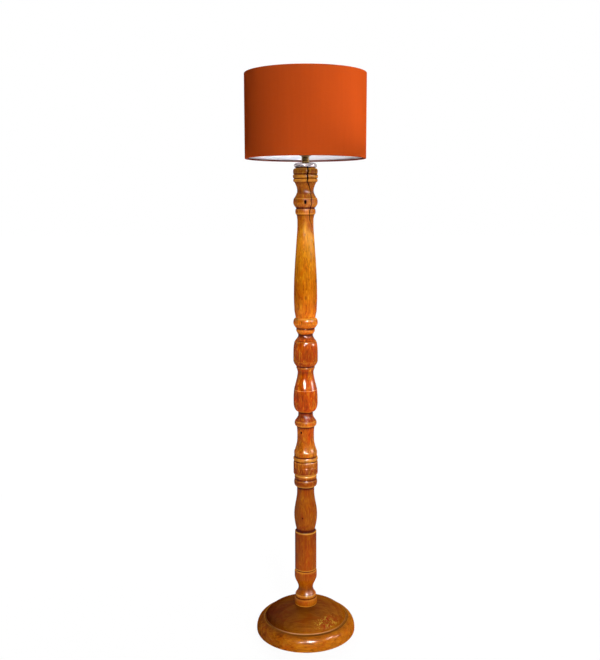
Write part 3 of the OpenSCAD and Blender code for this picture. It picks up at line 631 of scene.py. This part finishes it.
def knotAt(turn, radius, height, knot):        # how deep and how dark it is here
    level, side, halfWidth, halfHeight, depth, darkness = knot
    away = math.hypot(math.radians(turn - side) * radius / halfWidth, (height - level) / halfHeight)
    start, full = knotEdge
    inside = min(1, max(0, (start - away) / (start - full)))
    return depth * inside * inside * (3 - 2 * inside), inside * darkness


def checkAt(turn, radius, height):
    route = check["route"]
    if not route[-1][0] < height < route[0][0]:
        return 0, 0
    for (z1, t1), (z2, t2) in zip(route, route[1:]):
        if z2 <= height <= z1:
            middle = t1 + (t2 - t1) * (z1 - height) / (z1 - z2)
            middle += sum(size * math.sin(height * rate) for size, rate in check["wiggles"])
            slant = math.hypot(1, math.radians(t2 - t1) * radius / (z1 - z2))
            ending = min(1, (height - route[-1][0]) / check["ending"])
            low, high = check["wideFrom"]
            opening = 1 + min(1, max(0, (height - low) / (high - low)))
            width = check["halfWidth"] * (check["narrowest"] + (1 - check["narrowest"]) * ending) * opening
            inside = 1 - abs(math.radians(turn - middle)) * radius / slant / width
            if inside > 0:
                return check["depth"] * ending * inside ** check["slope"], min(1, check["darkness"] * inside)
    return 0, 0


def marksOnWood(turn, radius, height):
    turn = math.degrees(math.remainder(turn, tau))
    marks = [knotAt(turn, radius, height, knot) for knot in knots] + [checkAt(turn, radius, height)]
    return max(sunk for sunk, darkness in marks), max(darkness for sunk, darkness in marks)


def spacing(start, stop, fine, coarse):        # turns in degrees: fine from start to stop, coarse elsewhere
    close = [start + fine * k for k in range(int((stop - start) / fine) + 1)]
    rest = 360 - (close[-1] - close[0])
    count = int(rest / coarse)
    return [math.radians(a) for a in close + [close[-1] + rest * k / count for k in range(1, count)]]


turning = {"boreRadius": 0.0072, "blunt": 0.0005}
lengths = {                    # metres between rows, then the turns with marks on them and their fine step
    "bottom": (0.0016, -45, 20, 1),
    "middle": (0.0016, -45, 20, 1),
    "top": (0.0011, -20, 90, 0.5),
}
for length, (rowStep, start, stop, fine) in lengths.items():
    turned(f"wood_{length}_length", f"{length}_length", columnWood, "stand",
           {**turning, "rowStep": rowStep}, spacing(start, stop, fine, coarse=3), marksOnWood)
print("column turned")

baseTurning = {"boreRadius": 0.023, "blunt": 0.0007, "columns": 192,
               "cut": (0.0016, 0.0002, 0.0012), "hollow": (0.004, 0.0004, 0.0042)}
cordHole = {"radius": 0.0049, "sides": 48, "beyond": 0.03}      # it takes the grommet's body


def drilled(piece, nodeName, hole):    # a hole from the node's inner end out through the piece, along Y
    low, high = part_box(nodeName)
    middle = (low.z + high.z) / 2
    count = hole["sides"]
    angles = [tau * k / count for k in range(count)]
    ring = [(hole["radius"] * math.cos(a), hole["radius"] * math.sin(a)) for a in angles]
    ends = (low.y - hole["beyond"], high.y + hole["beyond"])
    points = [(x, end, middle + z) for end in ends for x, z in ring]
    sides = [(k, (k + 1) % count, count + (k + 1) % count, count + k) for k in range(count)]
    caps = [tuple(reversed(range(count))), tuple(range(count, 2 * count))]
    drill = meshObject("drill", points, sides + caps)
    fixNormals(drill)
    cut = piece.modifiers.new("drilled", "BOOLEAN")
    cut.object, cut.operation, cut.solver = drill, "DIFFERENCE", "EXACT"
    shaped = bpy.data.meshes.new_from_object(piece.evaluated_get(bpy.context.evaluated_depsgraph_get()))
    piece.modifiers.clear()
    piece.data = shaped
    bpy.data.meshes.remove(drill.data)


woodBase = turned("wood_base", "base", baseWood, "stand", baseTurning)
drilled(woodBase, "cord_grommet", cordHole)
print("base turned")

# Metal

metalLook = {
    "patches": (60, 4, 0.6),           # scale, detail and roughness
    "fine": (700, 2),
    "dull": (0.45, 0.75, 0.6),         # patches at which it begins and is full, and its share
    "dullTone": 0.55,
    "rougher": (0.4, 0.9, 0.18),       # and how much rougher it gets
    "relief": (0.12, 0.0006),          # strength and depth
    "fineRelief": 0.25,
    "fineRough": 0.3,
    "tarnishAndReflectionPatches": (5, 75, 3, 0.6), # stretch along Z, scale, detail and roughness
    "tarnishAndReflectionEdge": (0.44, 0.54),
    "tarnishAndShadeInCuts": (0.05, 0.5),
    "tarnishAndShadeShares": (0.85, 0.9),       # by height, and in the cuts
}


def metalFinish(name, colour, roughness, spots=None, tarnishAndShade=None):
    metal = Finish(name, Metallic=1.0)
    look = metalLook
    patches = metal.noise(metal.place(), *look["patches"])
    fine = metal.noise(metal.place(), *look["fine"])
    start, full, share = look["dull"]
    dull = spots or tuple(look["dullTone"] * c for c in colour)
    colour = metal.mix(metal.between(patches, start, full) * share, colour, dull)
    if tarnishAndShade:                        # tarnish, with painted shade in the cuts and painted dark reflections in patches round the lower edge
        over, under, tone = tarnishAndShade
        stretch, *rest = look["tarnishAndReflectionPatches"]
        spread = metal.noise(metal.stretched(1, 1, stretch), *rest)
        low = metal.between(metal.height(), over, under) * metal.between(spread, *look["tarnishAndReflectionEdge"])
        cut = metal.between(metal.painted("cut"), *look["tarnishAndShadeInCuts"])
        lowShare, cutShare = look["tarnishAndShadeShares"]
        colour = metal.mix(metal.maths("MAXIMUM", low * lowShare, cut * cutShare), colour, tone)
    start, full, rise = look["rougher"]
    metal.feed(Base_Color=colour,
               Roughness=metal.between(patches + fine * look["fineRough"], start, full,
                                       roughness, roughness + rise),
               Normal=metal.bump(patches + fine * look["fineRelief"], *look["relief"]))
    return metal


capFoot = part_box("vase_cap")[0].z
onCap = (capFoot + 0.011, capFoot + 0.005, (0.04, 0.03, 0.03))     # heights over and under, and colour, of the tarnish and the painted dark reflections
onNeck = (0, -1, (0.012, 0.007, 0.002))                            # tarnish and painted shade in its cuts alone
# colour, roughness, colour of the dull patches, and tarnish with painted shade and reflections
polished = metalFinish("polished_nickel", (0.62, 0.55, 0.56), 0.08, (0.3, 0.25, 0.25), onCap)
agedBrass = metalFinish("aged_brass", (0.17, 0.11, 0.04), 0.3, (0.06, 0.035, 0.012))
darkBrass = metalFinish("dark_brass", (0.15, 0.09, 0.03), 0.25, (0.05, 0.03, 0.01), onNeck)
zinc = metalFinish("zinc_plate", (0.62, 0.62, 0.6), 0.3)
bright = metalFinish("bright_aluminium", (0.78, 0.78, 0.78), 0.2)

turned("polished_cap", "vase_cap", polished, "stand", {"rowStep": 0.001, "columns": 128})
turned("neck", "brass_neck", darkBrass, "stand", {"rowStep": 0.001})
turned("lampholder_cup", "holder_cup", agedBrass, "stand", {"rowStep": 0.001})
turned("lampholder_shell", "holder_shell", agedBrass, "stand", {"rowStep": 0.002})
print("metal turned")

# Bulb

frosted = Finish("frosted_glass", Roughness=0.28, Coat_Weight=0.4, Coat_Roughness=0.2)
mist = frosted.noise(frosted.place(), 30)
frosted.feed(Base_Color=frosted.mix(mist, (0.86, 0.86, 0.84), (0.93, 0.93, 0.91)))
turned("frosted_bulb", "bulb_glass", frosted, "bulb", {"rowStep": 0.002})
turned("bulb_screw_cap", "bulb_cap", bright, "bulb", {"rowStep": 0.0008})

# Shade

shadeLook = {
    "orange": (175, 68, 21),
    "deep": 0.84,              # of the orange, in the slubs
    "light": 1.08,
    "hem": (114, 64, 56),      # the turned-in hem sees less light and is browner
    "hemEdge": (0.150, 0.149), # radii between which it begins
    "threads": 0.00045,
    "gaps": (0.2, 0.6),        # share and shade of the gaps between threads
    "slubs": (9, 130),         # stretch along Z and scale
    "uprights": (0.04, 160),
    "relief": (0.45, 0.0002),
}
seam = {                       # the cover laps over itself at the back
    "width": 0.012,
    "rise": 0.0004,
    "edge": 0.0006,
    "outside": 0.1518,         # radius beyond which the lap stands proud
}


def shadeFinish(look):
    cloth = Finish("shade_cloth", Roughness=0.9, Specular_IOR_Level=0.0)
    x, y, z = cloth.parts(cloth.place())
    around = cloth.maths("ARCTAN2", x, y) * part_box("shade_cover")[1].x
    turnsPerMetre = tau / look["threads"]
    weave = cloth.maths("SINE", around * turnsPerMetre) * cloth.maths("SINE", z * turnsPerMetre)
    slubs, uprights = (cloth.noise(cloth.stretched(1, 1, stretch), scale)
                       for stretch, scale in (look["slubs"], look["uprights"]))
    orange = rgb(*look["orange"])
    deep, light = (tuple(share * c for c in orange) for share in (look["deep"], look["light"]))
    colour = cloth.mix(slubs * 0.5 + uprights * 0.5, deep, light)
    share, shade = look["gaps"]
    colour = cloth.mix(cloth.between(weave, -1, 1) * share, colour, tuple(shade * c for c in orange))
    colour = cloth.covered(colour, cloth.between(cloth.radius(), *look["hemEdge"]), look["hem"])
    cloth.feed(Base_Color=colour, Normal=cloth.bump(weave * 0.5 + slubs * 0.5, *look["relief"]))
    return cloth


def lapOnShade(turn, radius, height):
    away = abs(math.remainder(turn - math.pi, tau)) * radius
    lap = min(1, max(0, (seam["width"] / 2 - away) / seam["edge"]))
    return (-seam["rise"] * lap if radius > seam["outside"] else 0), 0


turned("shade_fabric", "shade_cover", shadeFinish(shadeLook), "shade",
       {"rowStep": 0.02, "blunt": 0.0008}, spacing(176, 184, 0.1, coarse=1.9), lapOnShade)
print("shade made")

# Finishes for the nodes that keep the CAD's own mesh

plainLook = {"grain": (4, 0.6), "other": (0.35, 0.65), "rougher": (0.3, 0.7, 0.12), "strength": 0.25}


def plainFinish(name, colour, other, scale, roughness, depth=0.0002, **uniform):
    plain = Finish(name, **uniform)
    grain = plain.noise(plain.place(), scale, *plainLook["grain"])
    start, full, rise = plainLook["rougher"]
    plain.feed(Base_Color=plain.mix(plain.between(grain, *plainLook["other"]), colour, other),
               Roughness=plain.between(grain, start, full, roughness, min(1, roughness + rise)),
               Normal=plain.bump(grain, plainLook["strength"], depth))
    return plain


# two colours that mottle it, the scale of that, and roughness
felt = plainFinish("felt", (0.10, 0.14, 0.07), (0.06, 0.09, 0.045), 900, 0.9, 0.0006, Sheen_Weight=0.3)
rubber = plainFinish("grommet_rubber", (0.03, 0.03, 0.03), (0.045, 0.045, 0.045), 500, 0.55)
moulding = plainFinish("insulator", (0.80, 0.77, 0.70), (0.70, 0.67, 0.6), 240, 0.45)
blackPlastic = plainFinish("black_plastic", (0.02, 0.02, 0.02), (0.03, 0.03, 0.03), 350, 0.25)
styrene = plainFinish("white_styrene", (0.93, 0.92, 0.96), (0.88, 0.87, 0.92), 45, 0.5)
whiteCoat = plainFinish("white_coat", (0.80, 0.80, 0.78), (0.72, 0.72, 0.70), 160, 0.3)
wearers = [
    (felt, ["felt_pad"]),
    (rubber, ["cord_grommet"]),
    (zinc, ["base_washer", "base_nut", "bottom_tube", "middle_tube", "top_tube", "lower_coupling",
            "upper_coupling", "cap_washer"]),
    (moulding, ["insulator"]),
    (agedBrass, ["screw_shell", "centre_contact", "shade_retainer"]),
    (blackPlastic, ["switch_bar"]),
    (bright, ["bulb_tip"]),
    (styrene, ["shade_liner"]),
    (whiteCoat, ["top_wire_ring", "bottom_fitter"]),
]
for finish, nodeNames in wearers:
    for nodeName in nodeNames:
        materials = nodes[nodeName].data.materials
        materials.clear()
        materials.append(finish.material)
print("finishes given")

# Studio

paper = {
    "half": 30,                # metres from its middle to its edges
    "under": 0.0002,
    "tone": (0.93, 0.93, 0.93),
    "white": 1.01,             # strength at which it shows as the background does
    "shadow": (0.25, 1.6, 0.93, 1),    # radii between which the shadow fades into the white, and its share
}
corners = [(x * paper["half"], y * paper["half"], 0) for x, y in ((-1, -1), (1, -1), (1, 1), (-1, 1))]
floor = meshObject("floor", corners, [(0, 1, 2, 3)])
floor.location.z = -paper["under"]
paleFloor = Finish("pale_floor", Roughness=0.9, Specular_IOR_Level=0.1)
paleFloor.feed(Base_Color=paper["tone"])
share = paleFloor.background() * paleFloor.between(paleFloor.radius(), *paper["shadow"])
glow = paleFloor.add("Emission", None, {"Color": (1, 1, 1), "Strength": paper["white"]})
lit = Wire(paleFloor, paleFloor.shader.outputs[0])
joined = paleFloor.add("MixShader", None, {0: share, 1: lit, 2: glow})
paleFloor.put(paleFloor.tree.nodes["Material Output"].inputs["Surface"], joined)
floor.data.materials.append(paleFloor.material)

studio = {"level": 0.24, "towards": (0.20, -0.15, 0.06)}      # more from the right, the front and above
world = bpy.data.worlds.new("studio")
bpy.context.scene.world = world
world.use_nodes = True
sky = ShaderTools(world.node_tree)
direction = sky.add("TexCoord", output="Generated")
lean = sky.vectorMaths("DOT_PRODUCT", direction, studio["towards"], output="Value")
soft = sky.maths("MAXIMUM", lean + studio["level"], 0)
seen = sky.background()
background = sky.tree.nodes["Background"]
sky.put(background.inputs["Color"], (1, 1, 1))
sky.put(background.inputs["Strength"], soft * (1 - seen) + seen)


def aimed(name, light, place, target):
    lamp = bpy.data.objects.new(name, light)
    lamp.location = place
    lamp.rotation_euler = (Vector(target) - Vector(place)).to_track_quat("-Z", "Y").to_euler()
    bpy.context.scene.collection.objects.link(lamp)
    return lamp


def softbox(name, place, target, size, power, lights=True, shines=True):
    light = bpy.data.lights.new(name, "AREA")
    light.shape = "RECTANGLE"
    light.size, light.size_y = size
    light.energy = power
    lamp = aimed(name, light, place, target)
    lamp.visible_diffuse, lamp.visible_glossy = lights, shines
    lamp.visible_camera = False


spotlight = {"degrees": 9, "blend": 0.6, "radius": 0.03}


def spot(name, place, target, power):
    light = bpy.data.lights.new(name, "SPOT")
    light.energy = power
    light.spot_size = math.radians(spotlight["degrees"])
    light.spot_blend = spotlight["blend"]
    light.shadow_soft_size = spotlight["radius"]
    aimed(name, light, place, target)


keyPlace, sidePlace = (0.61, -2.73, 2.1), (2.54, -1.18, 2.1)
softbox("key", keyPlace, (0, 0, 0.6), (0.40, 0.32), 52)
softbox("side", sidePlace, (0, 0, 0.6), (0.45, 0.45), 5)
softbox("bounce", (0.35, -1.1, 0.12), (-0.05, 0.1, 1.3), (0.6, 0.5), 5, shines=False)
# for the views from behind
softbox("back_left", (-0.7, 2.92, 1.6), (0, 0, 0.8), (0.8, 0.8), 44, shines=False)
softbox("back_right", (0.7, 2.92, 1.6), (0, 0, 0.8), (0.8, 0.8), 44, shines=False)
# seen in the varnish and the metal alone
softbox("key_shine", keyPlace, (0, 0, 0.3), (0.75, 0.75), 1150, lights=False)
softbox("side_shine", sidePlace, (0, 0, 0.3), (0.9, 0.5), 330, lights=False)
softbox("low_shine", (-0.45, -2.2, 1.36), (0, 0, 0.7), (0.30, 0.12), 105, lights=False)
softbox("low_side_shine", (2.7, -0.62, 1.2), (0, 0, 0.7), (0.4, 0.24), 80, lights=False)

# past the column, to the inside of the shade
spot("underlight_left", (-0.35, -0.9, 0.9), (-0.074, 0.15, 1.272), 34)
spot("underlight_right", (0.35, -0.9, 0.9), (0.074, 0.15, 1.272), 25)
spot("shade_side", (2.5, -0.1, 1.5), (0, 0, 1.42), 200)

# a dark card beside the camera, which only reflections show
flag = {"away": 3.8, "from": -80, "to": -18, "low": 0.5, "high": 3.2, "steps": 8}
spread = [flag["from"] + (flag["to"] - flag["from"]) * k / flag["steps"] for k in range(flag["steps"] + 1)]
points = [(flag["away"] * math.sin(math.radians(turn)), -flag["away"] * math.cos(math.radians(turn)), z)
          for turn in spread for z in (flag["low"], flag["high"])]
faces = [(2 * k, 2 * k + 2, 2 * k + 3, 2 * k + 1) for k in range(flag["steps"])]
card = meshObject("flag", points, faces)
black = Finish("flag_cloth", Roughness=1.0, Specular_IOR_Level=0.0, Base_Color=(0.01, 0.01, 0.01))
card.data.materials.append(black.material)
card.visible_camera = card.visible_diffuse = card.visible_shadow = False
card.visible_transmission = False
print("studio set")
